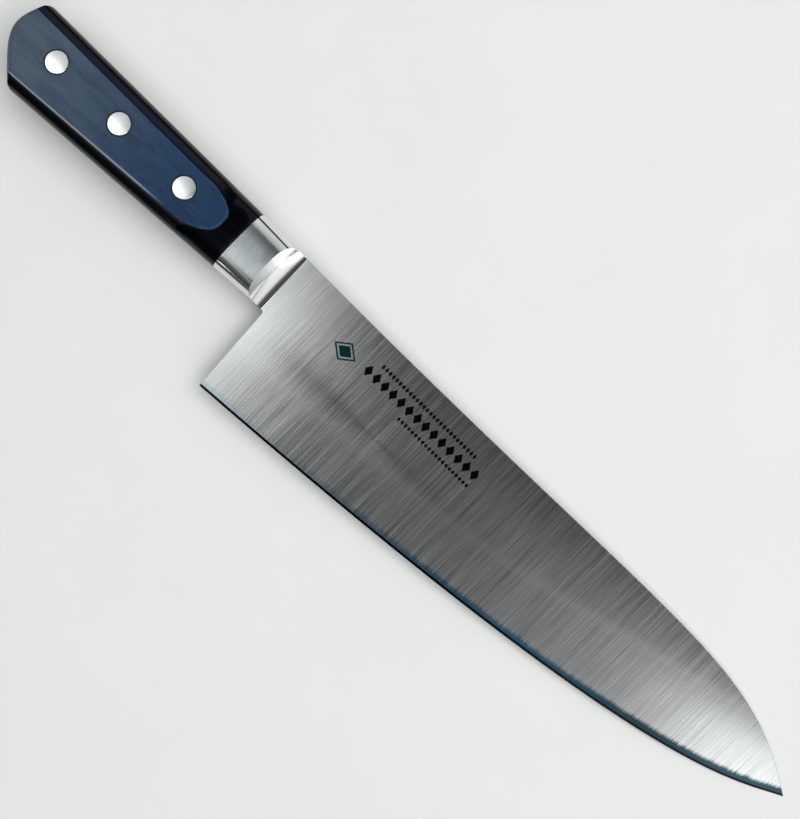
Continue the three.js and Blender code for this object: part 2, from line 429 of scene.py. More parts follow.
def crest_turn(share):
    """Where a lengthwise line of the rounded body meets the hollow, as a turn round its ellipse."""
    low, high = 0, math.pi / 2
    for _ in range(40):
        middle = (low + high) / 2
        x, z = cove_point(cove_length(share), middle)
        if bolster_line(x, share)[1] > z:
            low = middle
        else:
            high = middle
    return high


def bolster_line(x, share):
    """A point of the rounded body's section above the tang, from spine side to belly side."""
    start = angle_at(x, TANG_HALF)
    return crown_point(x, lerp(start, math.pi - start, share))


def bolster():
    """The right bolster half, with a crisp crest where the cove begins."""
    lines, body_steps, cove_steps, lip_steps = 140, 24, 28, 9
    near_zero = 1e-4
    work = bmesh.new()
    cove_layer = work.faces.layers.float.new("cove")
    grid = []
    for row in range(lines + 1):
        share = row / lines
        length, top = cove_length(share), crest_turn(share)
        crest = cove_point(length, top)[0]
        points = []
        for i in range(body_steps + 1):
            x = lerp(SEAM_X, crest, i / body_steps)
            points.append((x, *bolster_line(x, share)))
        crest_y = points[-1][1]
        for i in range(1, cove_steps + 1):
            x, z = cove_point(length, top * (1 - i / cove_steps))
            points.append((x, crest_y, z))
        for x in (COVE_END_X + LAND_MARGIN, FRONT_X - LIP - LAND_MARGIN):
            points.append((x, crest_y, TANG_HALF + LIP))
        for i in range(lip_steps + 1):
            turn = math.pi / 2 * i / lip_steps
            x = FRONT_X - LIP * (1 - math.sin(turn))
            points.append((x, crest_y, TANG_HALF + LIP * math.cos(turn)))
        grid.append([work.verts.new(point) for point in points])
    for near, far in zip(grid, grid[1:]):
        for i in range(len(near) - 1):
            face = work.faces.new((near[i], near[i + 1], far[i + 1], far[i]))
            face[cove_layer] = 1.0 if i >= body_steps else 0.0
    bmesh.ops.remove_doubles(work, verts=work.verts, dist=near_zero)
    seam = [v for v in work.verts if abs(v.co.x - SEAM_X) < near_zero]
    ends = [v for v in seam if abs(v.co.z - TANG_HALF) < 10 * near_zero]
    rear = [e for e in work.edges if len(e.link_faces) == 1 and all(v in seam for v in e.verts)]
    floor_edge = work.edges.new(ends)
    bmesh.ops.contextual_create(work, geom=rear + [floor_edge])
    under = [e for e in work.edges if len(e.link_faces) == 1]
    bmesh.ops.contextual_create(work, geom=under)
    bmesh.ops.recalc_face_normals(work, faces=work.faces)
    return object_from("bolster_right_fine", work)


def blade_half(rise):
    """Half thickness at a distance above the cutting edge."""
    if rise <= BEVEL_HEIGHT:
        return EDGE_HALF + BEVEL_SLOPE * rise
    ground = EDGE_HALF + BEVEL_SLOPE * BEVEL_HEIGHT - GRIND_SLOPE * BEVEL_HEIGHT
    lower = ground + GRIND_SLOPE * rise
    upper = ground + GRIND_SLOPE * GRIND_HEIGHT + UPPER_SLOPE * (rise - GRIND_HEIGHT)
    return soft_minimum(lower, upper, GRIND_BLEND * (GRIND_SLOPE - UPPER_SLOPE))


def rear_line_x(y):
    """X of the line from the spine down to the heel."""
    return lerp(SPINE_START[0], HEEL[0], (SPINE_START[1] - y) / (SPINE_START[1] - HEEL[1]))


def blade_side(along, eased):
    """The right half of one section of the blade, from the edge up. The rearmost is eased."""
    low_x, high_x = lerp(HEEL[0], TIP[0], along), lerp(SPINE_START[0], TIP[0], along)
    low = (low_x, height_at(EDGE_CURVE, low_x))
    high = (high_x, height_at(SPINE_CURVE, high_x))
    height = high[1] - low[1]
    bevel = min(BEVEL_HEIGHT, height / 6)  # both shrink with the blade near its tip
    ease = min(CORNER_EASE, height / 8)
    rows = 56
    rises = [0, bevel * 0.5, bevel]
    rises += [lerp(bevel, height - ease, (i / rows) ** 1.2) for i in range(1, rows + 1)]
    rises.append(height)
    side = []
    for rise in rises:
        share = rise / height
        x, y = lerp(low[0], high[0], share), lerp(low[1], high[1], share)
        half = blade_half(rise)
        in_neck = smooth(y, NECK_LOW_Y - 0.4, NECK_LOW_Y)
        if rise == height:
            half -= ease
        if eased:
            half = max(half - CORNER_EASE * (1 - in_neck), EDGE_HALF / 2)
        side.append((x, y, half))
    return side


def blade():
    """Blade, neck and tang, with each point's rise above the cutting edge as a layer."""
    stations, rear_stations = 260, 7
    crowding = 1.25  # sections lie closer together towards the tip
    shares = [i * CORNER_EASE / 2 / (TIP[0] - HEEL[0]) for i in range(rear_stations)]
    shares += [1 - (1 - lerp(shares[-1], 1, i / stations)) ** crowding for i in range(1, stations)]
    shares.append(LAST_SECTION)
    rings = []
    for along in shares:
        side = blade_side(along, along == 0)
        rings.append(side + [(x, y, -half) for x, y, half in reversed(side)])
    knife = object_from("blade_fine", rings_to_solid(rings))
    handle_end = tang()
    combine(handle_end, neck(), "UNION")
    combine(knife, handle_end, "UNION")
    edge_steps = 600
    edge_x, edge_y = zip(*(bezier(EDGE_CURVE, i / edge_steps) for i in range(edge_steps + 1)))
    add_layer(knife, "rise", lambda x, y: y - np.interp(x, edge_x, edge_y))
    return knife


def neck():
    """The short neck in front of the bolster, with the blade's own taper and a choil fillet."""
    corner_x = rear_line_x(NECK_LOW_Y)
    centre_y = NECK_LOW_Y - CHOIL_FILLET
    steps = 8
    rows = []
    for i in range(steps + 1):
        turn = math.pi / 2 * i / steps
        rows.append((corner_x - CHOIL_FILLET * (1 - math.cos(turn)),
                     centre_y + CHOIL_FILLET * math.sin(turn), 0))
    top = SPINE_START[1]
    step_up = 0.01  # so that no face of the neck has zero width
    rows += [(NECK_BACK_X, NECK_LOW_Y + step_up, 0), (NECK_BACK_X, top - CORNER_EASE, 0)]
    rows.append((NECK_BACK_X, top, CORNER_EASE))
    rings = []
    for back_x, y, ease in rows:
        half = blade_half(y - HEEL[1]) - NECK_INSET - ease
        front_x = rear_line_x(y) + NECK_OVERLAP
        corners = [(back_x, -half), (front_x, -half), (front_x, half), (back_x, half)]
        rings.append([(x, y, z) for x, z in corners])
    return object_from("neck", rings_to_solid(rings))


def tang_line(x, belly):
    """Y of the tang's side at x, flush with the scales at its faces."""
    angle = angle_at(x, TANG_HALF)
    return crown_point(x, math.pi - angle if belly else angle)[0]


def tang():
    """The tang, which runs from the neck to the butt and shows between the scales."""
    outline = []
    steps = 60
    past_corner = 0.5
    beyond = 3  # past the tang's faces on either side
    for i in range(steps + 1):
        x = lerp(FRONT_X, SPINE_CORNER[0], i / steps)
        outline.append((x, min(tang_line(x, False), spine_side(x))))
    outline += butt_curve()[1:]
    for i in range(steps + 1):
        x = lerp(BELLY_CORNER[0] + past_corner, FRONT_X, i / steps)
        outline.append((x, tang_line(x, True)))
    half = TANG_HALF - TANG_GAP
    body = object_from("tang", prism(outline, -half, half))
    for x in RIVET_X.values():
        combine(body, round_cutter(x, TUBE_RADIUS + FIT_GAP, -beyond, beyond), "DIFFERENCE")
    return body


def turned(name, x, profile, points=96):
    """A solid of revolution about Z from radius and height pairs that start and end on the axis."""
    work = bmesh.new()
    rings = []
    for radius, z in profile:
        if radius == 0:
            rings.append([work.verts.new((x, 0, z))])
            continue
        ring = []
        for k in range(points):
            turn = 2 * math.pi * k / points
            ring.append(work.verts.new((x + radius * math.cos(turn), radius * math.sin(turn), z)))
        rings.append(ring)
    for low, high in zip(rings, rings[1:]):
        for k in range(points):
            after = (k + 1) % points
            corners = [low[k % len(low)], low[after % len(low)]]
            corners += [high[after % len(high)], high[k % len(high)]]
            work.faces.new(list(dict.fromkeys(corners)))
    bmesh.ops.recalc_face_normals(work, faces=work.faces)
    return object_from(name, work)


def head_rim(outer_z):
    """Radius and height pairs round a rivet head's eased rim, from its side to its face."""
    steps = 5
    inward = math.copysign(HEAD_EASE, outer_z)
    rim = []
    for i in range(steps + 1):
        turn = math.pi / 2 * i / steps
        radius = HEAD_RADIUS - HEAD_EASE * (1 - math.cos(turn))
        rim.append((radius, outer_z - inward * (1 - math.sin(turn))))
    return rim


def rivet_socket(place):
    """The rivet half with a tube, its head flush with the right flat."""
    under = HANDLE_HALF - HEAD_DEPTH
    return turned(f"rivet_socket_{place}_fine", RIVET_X[place], [
        (0, under - END_GAP), (TUBE_BORE, under - END_GAP), (TUBE_BORE, END_GAP - under),
        (TUBE_RADIUS, END_GAP - under), (TUBE_RADIUS, under), (HEAD_RADIUS, under),
        *head_rim(HANDLE_HALF), (0, HANDLE_HALF)])


def rivet_pin(place):
    """The rivet half with a solid shank, its head flush with the left flat."""
    above = HEAD_DEPTH - HANDLE_HALF
    end = HANDLE_HALF - HEAD_DEPTH - 2 * END_GAP
    return turned(f"rivet_pin_{place}_fine", RIVET_X[place], [
        (0, -HANDLE_HALF), *reversed(head_rim(-HANDLE_HALF)),
        (HEAD_RADIUS, above), (SHANK_RADIUS, above), (SHANK_RADIUS, end), (0, end)])


# ---------------------------------------------------------------- material helpers


class Shader:
    """The nodes of one material or world, added one call at a time."""

    def __init__(self, owner):
        owner.use_nodes = True
        self.tree = owner.node_tree

    def add(self, kind, inputs=None, **settings):
        """A new shader node with its settings and inputs filled in."""
        node = self.tree.nodes.new("ShaderNode" + kind)
        for key, value in settings.items():
            setattr(node, key, value)
        for key, value in (inputs or {}).items():
            self.feed(node.inputs[key], value)
        return node

    def feed(self, socket, value):
        """Links value to the socket, or stores it there if it is a plain value."""
        if isinstance(value, bpy.types.NodeSocket):
            self.tree.links.new(value, socket)
        else:
            socket.default_value = value

    def math(self, operation, *values):
        """The result of one Math node."""
        inputs = dict(enumerate(values))
        return self.add("Math", inputs, operation=operation).outputs[0]

    def remap(self, value, low, high, to_low=0.0, to_high=1.0):
        """A smooth step from to_low to to_high as value goes from low to high."""
        inputs = {"Value": value, "From Min": low, "From Max": high}
        inputs.update({"To Min": to_low, "To Max": to_high})
        return self.add("MapRange", inputs, interpolation_type="SMOOTHSTEP").outputs[0]

    def noise(self, position, stretch, detail=3.0, roughness=0.6, distortion=0.0):
        """Noise in millimetres, with one scale for each axis."""
        inputs = {0: position, 1: stretch}
        scaled = self.add("VectorMath", inputs, operation="MULTIPLY").outputs[0]
        inputs = {"Vector": scaled, "Scale": 1.0, "Detail": detail, "Roughness": roughness}
        inputs["Distortion"] = distortion
        return self.add("TexNoise", inputs).outputs["Fac"]

    def product(self, first, *others):
        """All the values multiplied together."""
        for value in others:
            first = self.math("MULTIPLY", first, value)
        return first

    def blend(self, share, first, second):
        """A colour that goes from first to second."""
        inputs = {"Factor": share, 6: first, 7: second}
        return self.add("Mix", inputs, data_type="RGBA").outputs[2]

    def mix(self, share, first, second):
        """A number that goes from first to second."""
        return self.add("Mix", {0: share, 2: first, 3: second}, data_type="FLOAT").outputs[0]

    def layer(self, name):
        """The value of a vertex or face layer."""
        return self.add("Attribute", attribute_name=name).outputs["Fac"]

    def ramp(self, value, stops):
        """A grey level looked up on a line through (value, level) stops. Levels may exceed 1."""
        low, high = stops[0][0], stops[-1][0]
        top = max(level for _, level in stops)
        inputs = {"Value": value, "From Min": low, "From Max": high}
        share = self.add("MapRange", inputs).outputs[0]
        node = self.add("ValToRGB", {0: share})
        elements = node.color_ramp.elements
        while len(elements) < len(stops):
            elements.new(1.0)
        for element, (place, level) in zip(elements, stops):
            element.position = (place - low) / (high - low)
            element.color = (level / top, level / top, level / top, 1)
        return self.math("MULTIPLY", node.outputs[0], top)

    def bump(self, height, strength, depth_mm):
        """A surface normal bent by a height between 0 and 1."""
        inputs = {"Height": height, "Strength": strength, "Distance": depth_mm * MM}
        return self.add("Bump", inputs).outputs[0]

    def millimetres(self):
        """Position in the frame, in millimetres, and its three parts."""
        place = self.add("TexCoord").outputs["Object"]
        inputs = {0: place, 1: (1 / MM,) * 3}
        position = self.add("VectorMath", inputs, operation="MULTIPLY").outputs[0]
        parts = self.add("SeparateXYZ", {0: position}).outputs
        return position, parts[0], parts[1], parts[2]


def new_material(name, **settings):
    """A material, its shader helper and its surface node, with plain settings filled in."""
    material = bpy.data.materials.new(name)
    shader = Shader(material)
    surface = material.node_tree.nodes["Principled BSDF"]
    for key, value in settings.items():
        surface.inputs[key.replace("_", " ")].default_value = value
    return material, shader, surface


# Stretch of the scratches along x, y and z, in noise cells for each millimetre.
FINE_SCRATCHES = (1.9, 0.04, 0.0)
BROAD_SCRATCHES = (0.45, 0.012, 0.0)


def grind_lines(shader, position):
    """Fine straight scratches across the knife, from about -1 to 1."""
    fine = shader.noise(position, FINE_SCRATCHES, detail=2.0, roughness=0.6)
    broad = shader.noise(position, BROAD_SCRATCHES, detail=2.0, roughness=0.6)
    both = shader.math("MULTIPLY_ADD", broad, 0.5, fine)
    mean = 0.75
    return shader.math("MULTIPLY", shader.math("SUBTRACT", both, mean), 2.8)


def grey(shader, tone, tint):
    """A colour from a grey level and a tint."""
    channels = {i: shader.math("MULTIPLY", tone, part) for i, part in enumerate(tint)}
    return shader.add("CombineColor", channels).outputs[0]


# The etched ornament, in millimetres on the blade's right face.
BADGE_CENTRE = (93.9, -1.1)
BADGE_RING_OUTSIDE = (5.0, 3.9)  # half sizes
BADGE_RING_INSIDE = (4.0, 3.1)
BADGE_MIDDLE = (3.1, 2.4)
# Each row of small lozenges: y, x of the first one, how many, their spacing and their half size.
ORNAMENT_ROWS = (
    (-0.1, 104.2, 14, 3.865, (1.6, 2.3)),
    (4.3, 107.0, 28, 1.6, (0.62, 1.1)),
    (-4.6, 123.0, 21, 1.6, (0.62, 0.95)),
)
ETCH_SOFTNESS = 0.05  # how soft a lozenge's border is, as a share of its size


def lozenge(shader, x, y, centre, half):
    """1 inside a lozenge, with a border soft enough not to look jagged."""
    across = shader.math("ABSOLUTE", shader.math("SUBTRACT", x, centre[0]))
    up = shader.math("ABSOLUTE", shader.math("SUBTRACT", y, centre[1]))
    reach = shader.math("ADD", shader.math("DIVIDE", across, half[0]),
                        shader.math("DIVIDE", up, half[1]))
    return shader.remap(reach, 1 + ETCH_SOFTNESS, 1 - ETCH_SOFTNESS)


def lozenge_row(shader, x, y, row_y, first_x, count, pitch, half):
    """1 inside each of a row of equal lozenges."""
    along = shader.math("SUBTRACT", x, first_x - pitch / 2)
    from_middle = shader.math("SUBTRACT", shader.math("FLOORED_MODULO", along, pitch), pitch / 2)
    row_middle = first_x + (count - 1) * pitch / 2
    off = shader.math("ABSOLUTE", shader.math("SUBTRACT", x, row_middle))
    within = shader.remap(off, count * pitch / 2 + ETCH_SOFTNESS, count * pitch / 2 - ETCH_SOFTNESS)
    return shader.math("MULTIPLY", lozenge(shader, from_middle, y, (0, row_y), half), within)


def etched_ornament(shader, x, y, z):
    """Two masks on the right face: a plain lozenge badge, and rows of small lozenges."""
    outside, inside, middle = (
        lozenge(shader, x, y, BADGE_CENTRE, half)
        for half in (BADGE_RING_OUTSIDE, BADGE_RING_INSIDE, BADGE_MIDDLE))
    badge = shader.math("ADD", shader.math("SUBTRACT", outside, inside), middle)
    rows = [lozenge_row(shader, x, y, *row) for row in ORNAMENT_ROWS]
    row = shader.math("ADD", shader.math("ADD", rows[0], rows[1]), rows[2])
    right_face = shader.remap(z, CENTRE_Z, CENTRE_Z + 0.1)
    return shader.math("MULTIPLY", badge, right_face), shader.math("MULTIPLY", row, right_face)


# ---------------------------------------------------------------- materials


STEEL_TONE = 0.63
STEEL_TINT = (0.985, 1.0, 0.99)
# How deep the scratches show in the blade's colour, by x: calm at the heel and towards the tip.
SCRATCH_DEPTH = ((64, 0.1), (80, 0.14), (92, 0.32), (200, 0.32), (260, 0.2))
# How strongly the painted reflection along the cutting edge shows, by x.
EDGE_REFLECTION_STRENGTH = ((70, 0.3), (100, 0.1), (140, 0.6), (170, 0.95), (270, 1.0))
EDGE_REFLECTION_BLUE = (0.07, 0.27, 0.46, 1)  # painted reflection along the edge: its colour in the blade's middle
EDGE_REFLECTION_DARK = (0.03, 0.07, 0.09, 1)  # and at its tip
# Painted dark reflection on the cutting edge's bevel.
BEVEL_DARK_REFLECTION = (0.02, 0.022, 0.026, 1)
# Painted highlight along the blade's grind line.
GRIND_LINE_HIGHLIGHT = (0.86, 0.87, 0.86, 1)
BADGE_GREEN = (0.004, 0.045, 0.04, 1)
ROW_BLACK = (0.004, 0.005, 0.006, 1)


def blade_steel():
    """Satin steel ground across the blade, with painted reflection that darkens it along its edge,
    a painted highlight along its grind line, and an etched ornament.
    """
    material, shader, surface = new_material("blade_steel_satin", Metallic=1.0)
    position, x, y, z = shader.millimetres()
    lines = grind_lines(shader, position)
    rise = shader.layer("rise")
    depth = shader.ramp(x, SCRATCH_DEPTH)
    tone = shader.math("MULTIPLY_ADD", lines, depth, STEEL_TONE)
    steel = grey(shader, tone, STEEL_TINT)

    # A painted highlight: a pale streak along the soft line where the faces grow more parallel.
    line_rise = shader.remap(x, 150.0, 262.0, 19.0, 26.0)
    off_line = shader.math("DIVIDE", shader.math("SUBTRACT", rise, line_rise), 2.2)
    squared = shader.math("POWER", off_line, 2.0)
    line_highlight = shader.math("EXPONENT", shader.math("MULTIPLY", squared, -1.0))
    share = shader.product(line_highlight, shader.remap(x, 60.0, 130.0, 0.0, 0.3))
    steel = shader.blend(share, steel, GRIND_LINE_HIGHLIGHT)

    # Painted reflection: a dark band with a ragged border along the cutting edge, and near black on
    # the bevel itself.
    ragged = shader.math("MULTIPLY_ADD", lines, 0.8, rise)
    ragged = shader.math("SUBTRACT", ragged, shader.remap(x, 215.0, 250.0, 0.0, 0.5))
    near_edge = shader.remap(ragged, 3.4, 1.6)
    # Painted reflection: blue to near black colour standing in for the dark room that the edge's
    # rounding reflects.
    edge_reflection_colour = shader.blend(shader.remap(x, 190.0, 262.0), EDGE_REFLECTION_BLUE, EDGE_REFLECTION_DARK)
    strength = shader.product(near_edge, shader.ramp(x, EDGE_REFLECTION_STRENGTH))
    steel = shader.blend(strength, steel, edge_reflection_colour)
    # Painted reflection: the bevel is coloured near black, as the dark room it would reflect.
    on_bevel = shader.remap(rise, BEVEL_HEIGHT + 0.25, BEVEL_HEIGHT + 0.05)
    on_blade = shader.remap(x, HEEL[0] - 4.0, HEEL[0] - 3.0)
    steel = shader.blend(shader.product(on_bevel, on_blade), steel, BEVEL_DARK_REFLECTION)

    badge, row = etched_ornament(shader, x, y, z)
    steel = shader.blend(badge, steel, BADGE_GREEN)
    steel = shader.blend(row, steel, ROW_BLACK)
    shader.feed(surface.inputs["Base Color"], steel)

    etched = shader.product(shader.math("ADD", badge, row), 0.15)
    sheen_term = shader.math("MULTIPLY_ADD", lines, 0.02, 0.13)
    shader.feed(surface.inputs["Roughness"], shader.math("ADD", sheen_term, etched))
    surface.inputs["Anisotropic"].default_value = 0.5
    surface.inputs["Tangent"].default_value = (1, 0, 0)
    shader.feed(surface.inputs["Normal"], shader.bump(lines, 0.3, 0.006))
    return material


BOLSTER_TONE = 0.46
BOLSTER_TINT = (0.94, 1.0, 1.04)
BOLSTER_POLISHED = (0.8, 0.8, 0.79, 1)
BRUSH_STRETCH = (3.6, 0.1, 0.0)
# The brushed top ends where the bolster's sides begin. Each pair is a soft border in y.
BRUSHED_SPINE_SIDE = (7.1, 7.6)
BRUSHED_BELLY_SIDE = (-6.4, -6.9)


def bolster_steel():
    """Brushed across on its flat top, and polished on its sides and cove."""
    material, shader, surface = new_material("bolster_steel_two_finishes", Metallic=1.0)
    position, _, y, _ = shader.millimetres()
    upper = shader.remap(y, *BRUSHED_SPINE_SIDE)
    lower = shader.remap(y, *BRUSHED_BELLY_SIDE)
    polished = shader.math("MAXIMUM", shader.layer("cove"), shader.math("MAXIMUM", upper, lower))
    fine = shader.noise(position, BRUSH_STRETCH, detail=3.0, roughness=0.7)
    lines = shader.math("SUBTRACT", fine, 0.5)
    brushed = grey(shader, shader.math("MULTIPLY_ADD", lines, 0.35, BOLSTER_TONE), BOLSTER_TINT)
    shader.feed(surface.inputs["Base Color"], shader.blend(polished, brushed, BOLSTER_POLISHED))
    rough = shader.math("MULTIPLY_ADD", lines, 0.1, 0.2)
    smear = shader.noise(position, (0.3, 0.3, 0.3), detail=2.0)
    shine = shader.math("MULTIPLY_ADD", smear, 0.05, 0.03)
    shader.feed(surface.inputs["Roughness"], shader.mix(polished, rough, shine))
    anisotropy = shader.math("MULTIPLY_ADD", polished, -0.6, 0.6)
    shader.feed(surface.inputs["Anisotropic"], anisotropy)
    surface.inputs["Tangent"].default_value = (1, 0, 0)
    depth = shader.product(lines, shader.math("SUBTRACT", 1.0, polished))
    shader.feed(surface.inputs["Normal"], shader.bump(depth, 0.3, 0.01))
    return material


# Stretch of the wood's three kinds of figure, in noise cells for each millimetre.
PORE_STRETCH = (0.5, 2.6, 2.6)
FIGURE_STRETCH = (0.05, 0.22, 0.22)
FIBRE_STRETCH = (0.9, 6.0, 6.0)
# Darkest and lightest colours of the ground flat, at the butt and at the front: the wood's own
# blue-black, painted lighter and greyer at the butt as sheen that fades towards the front.
FLAT_DARK = ((0.037, 0.06, 0.088, 1), (0.0035, 0.02, 0.057, 1))
FLAT_LIGHT = ((0.065, 0.093, 0.125, 1), (0.014, 0.042, 0.09, 1))
RIM_COLOUR = (0.06, 0.13, 0.19, 1)
# Painted highlight along the belly side of the flat's crease.
CREASE_HIGHLIGHT_COLOUR = (0.19, 0.225, 0.245, 1)
BUTT_EDGE_COLOUR = (0.1, 0.12, 0.125, 1)
# Painted shade in a ring around each rivet head.
RIVET_GAP_SHADE_COLOUR = (0.002, 0.003, 0.006, 1)
SIDE_DARK = (0.0, 0.0005, 0.001, 1)
SIDE_LIGHT = (0.001, 0.0015, 0.003, 1)
# Navy veneer layer, painted only on the lit spine side: partly the wood's own layer, partly painted
# light.
VENEER_AND_PAINTED_LIGHT_COLOUR = (0.0, 0.003, 0.013, 1)


def wood_grain(shader, position, pores):
    """The wood's figure, from 0 to 1."""
    figure = shader.noise(position, FIGURE_STRETCH, detail=3.0, roughness=0.55, distortion=1.0)
    fibres = shader.noise(position, FIBRE_STRETCH, detail=3.0, roughness=0.8)
    mixed = shader.math("MULTIPLY_ADD", shader.math("SUBTRACT", pores, 0.5), 0.8, figure)
    mixed = shader.math("MULTIPLY_ADD", shader.math("SUBTRACT", fibres, 0.5), 0.7, mixed)
    return shader.remap(mixed, 0.2, 0.8)


def flat_wood(shader, grain, ground, off_centre, x, y):
    """Colour of the ground flat, with painted sheen towards the butt, its borders, a painted
    highlight along the belly side's crease, and painted shade in rings around the rivets.
    """
    # Painted sheen: lighter and greyer at the butt, fading to deeper blue at the front.
    sheen_fade = shader.remap(x, -60.0, 22.0)
    dark = shader.blend(sheen_fade, *FLAT_DARK)
    light = shader.blend(sheen_fade, *FLAT_LIGHT)
    colour = shader.blend(grain, dark, light)

    rim = shader.product(
        shader.remap(ground, 0.0, 0.03), shader.remap(ground, 0.1, 0.04),
        shader.product(grain, shader.remap(x, 18.0, 30.0, 0.1, 0.6)))
    colour = shader.blend(rim, colour, RIM_COLOUR)
    # Painted highlight: a pale line along the flat's crease on the belly side, towards the butt.
    sheen_term = shader.product(
        shader.remap(ground, -0.03, 0.01), shader.remap(ground, 0.17, 0.06),
        shader.remap(y, -2.0, -6.0), shader.remap(x, 18.0, 4.0))
    colour = shader.blend(sheen_term, colour, CREASE_HIGHLIGHT_COLOUR)
    butt_edge = shader.product(
        shader.remap(ground, 0.1, 0.3),
        shader.remap(off_centre, HANDLE_HALF - 0.1, HANDLE_HALF - 0.7))
    colour = shader.blend(butt_edge, colour, BUTT_EDGE_COLOUR)

    # Painted shade: a dark ring on the wood around each rivet head, as the shadow of the gap round
    # it.
    for rivet_x in RIVET_X.values():
        along = shader.math("SUBTRACT", x, rivet_x)
        squares = [shader.math("POWER", offset, 2.0) for offset in (along, y)]
        away = shader.math("SQRT", shader.math("ADD", *squares))
        shade = shader.remap(away, HEAD_RADIUS + 0.55, HEAD_RADIUS + 0.2, 0.0, 0.9)
        colour = shader.blend(shade, colour, RIVET_GAP_SHADE_COLOUR)
    return colour


def handle_wood():
    """Blue-black laminated wood: buffed flats that show the grain, and glossy rounded sides."""
    material, shader, surface = new_material("handle_laminated_wood", IOR=1.3)
    position, x, y, z = shader.millimetres()
    ground = shader.layer("ground")
    off_centre = shader.math("ABSOLUTE", shader.math("SUBTRACT", z, CENTRE_Z))
    level = shader.remap(off_centre, HANDLE_HALF - 2.8, HANDLE_HALF - 2.2)
    flat = shader.product(level, shader.remap(ground, -0.03, 0.01))
    pores = shader.noise(position, PORE_STRETCH, detail=4.0, roughness=0.75, distortion=0.3)
    grain = wood_grain(shader, position, pores)

    side_colour = shader.blend(grain, SIDE_DARK, SIDE_LIGHT)
    # A navy veneer layer on the rounded side next to the flat, painted only on the spine side and
    # towards the butt: partly the wood's own layer, partly painted light where the lamp falls on
    # that side.
    veneer_and_painted_light = shader.product(
        shader.remap(off_centre, HANDLE_HALF - 0.9, HANDLE_HALF - 0.75),
        shader.remap(y, 6.0, 8.0), shader.remap(x, 28.0, 8.0))
    side_colour = shader.blend(veneer_and_painted_light, side_colour, VENEER_AND_PAINTED_LIGHT_COLOUR)
    flat_colour = flat_wood(shader, grain, ground, off_centre, x, y)
    shader.feed(surface.inputs["Base Color"], shader.blend(flat, side_colour, flat_colour))

    side_rough = 0.09
    flat_rough = shader.math("MULTIPLY_ADD", grain, 0.15, 0.35)
    shader.feed(surface.inputs["Roughness"], shader.mix(flat, side_rough, flat_rough))
    shader.feed(surface.inputs["Normal"], shader.bump(shader.product(pores, flat), 0.3, 0.03))
    return material


RIVET_TONE = 0.92
RIVET_TINT = (1.0, 1.0, 0.99)
SCUFF_STRETCH = (0.5, 4.0, 0.5)


def rivet_steel():
    """Bright steel, ground flush and buffed."""
    material, shader, surface = new_material("rivet_bright_steel", Metallic=1.0)
    position = shader.millimetres()[0]
    scuffs = shader.noise(position, SCUFF_STRETCH, detail=4.0, roughness=0.7)
    tone = shader.math("MULTIPLY_ADD", scuffs, 0.08, RIVET_TONE)
    shader.feed(surface.inputs["Base Color"], grey(shader, tone, RIVET_TINT))
    shader.feed(surface.inputs["Roughness"], shader.math("MULTIPLY_ADD", scuffs, 0.15, 0.12))
    shader.feed(surface.inputs["Normal"], shader.bump(scuffs, 0.15, 0.01))
    return material


# ---------------------------------------------------------------- build

# Each slot's material, and the angle in degrees above which an edge of its pieces stays sharp.
FINISHES = {
    "blade_steel": (blade_steel(), 4),
    "bolster_steel": (bolster_steel(), 12),
    "handle_wood": (handle_wood(), 9),
    "rivet_steel": (rivet_steel(), 30),
}


def place_piece(obj, node, slot):
    """Finishes a piece and puts it in its node's place."""
    material, sharp_degrees = FINISHES[slot]
    finish_surface(obj, sharp_degrees, material)
    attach(obj, "root")
    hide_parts(node)


place_piece(blade(), "blade", "blade_steel")
for make, stem, slot in ((bolster, "bolster", "bolster_steel"),
                         (handle_scale, "scale", "handle_wood")):
    right = make()
    left = mirror_copy(right, f"{stem}_left_fine")
    place_piece(right, f"{stem}_right", slot)
    place_piece(left, f"{stem}_left", slot)
for place in RIVET_X:
    place_piece(rivet_socket(place), f"rivet_socket_{place}", "rivet_steel")
    place_piece(rivet_pin(place), f"rivet_pin_{place}", "rivet_steel")


# ---------------------------------------------------------------- floor, light and camera


def floor():
    """A plain pale floor. The knife rests on the handle's front end and its tip, so it slopes."""
    size = 3.0
    rest_x, slope = 35.2 * MM, 0.0325
    square = ((-size, -size), (size, -size), (size, size), (-size, size))
    mesh = bpy.data.meshes.new("floor")
    mesh.from_pydata([(x, y, (x - rest_x) * slope) for x, y in square], [], [(0, 1, 2, 3)])
    material, shader, surface = new_material("floor_pale", Roughness=0.6)
    position = shader.millimetres()[0]
    mottle = shader.noise(position, (0.02, 0.02, 0.02), detail=5.0)
    shader.feed(surface.inputs["Base Color"],
                shader.blend(mottle, (0.7, 0.7, 0.69, 1), (0.75, 0.75, 0.74, 1)))
    mesh.materials.append(material)
    obj = bpy.data.objects.new("floor", mesh)
    bpy.context.scene.collection.objects.link(obj)


# How bright the room is along the knife, by the slope of a direction towards the tip.
ALONG = (
    (-1.5, 0.9), (-0.6, 1.4), (-0.35, 1.95), (-0.284, 1.85), (-0.22, 1.55), (-0.18, 1.15),
    (-0.15, 1.15), (-0.13, 1.9), (-0.111, 1.85), (-0.1, 1.08), (-0.084, 0.36), (-0.069, 0.22),
    (-0.052, 0.175), (-0.02, 0.15), (0.01, 0.145), (0.05, 0.155), (0.09, 0.165), (0.136, 0.2),
    (0.18, 0.29), (0.22, 0.34), (0.253, 0.42), (0.285, 0.62), (0.306, 0.75), (0.327, 1.15),
    (0.36, 1.7), (0.6, 2.3), (3.0, 2.7))

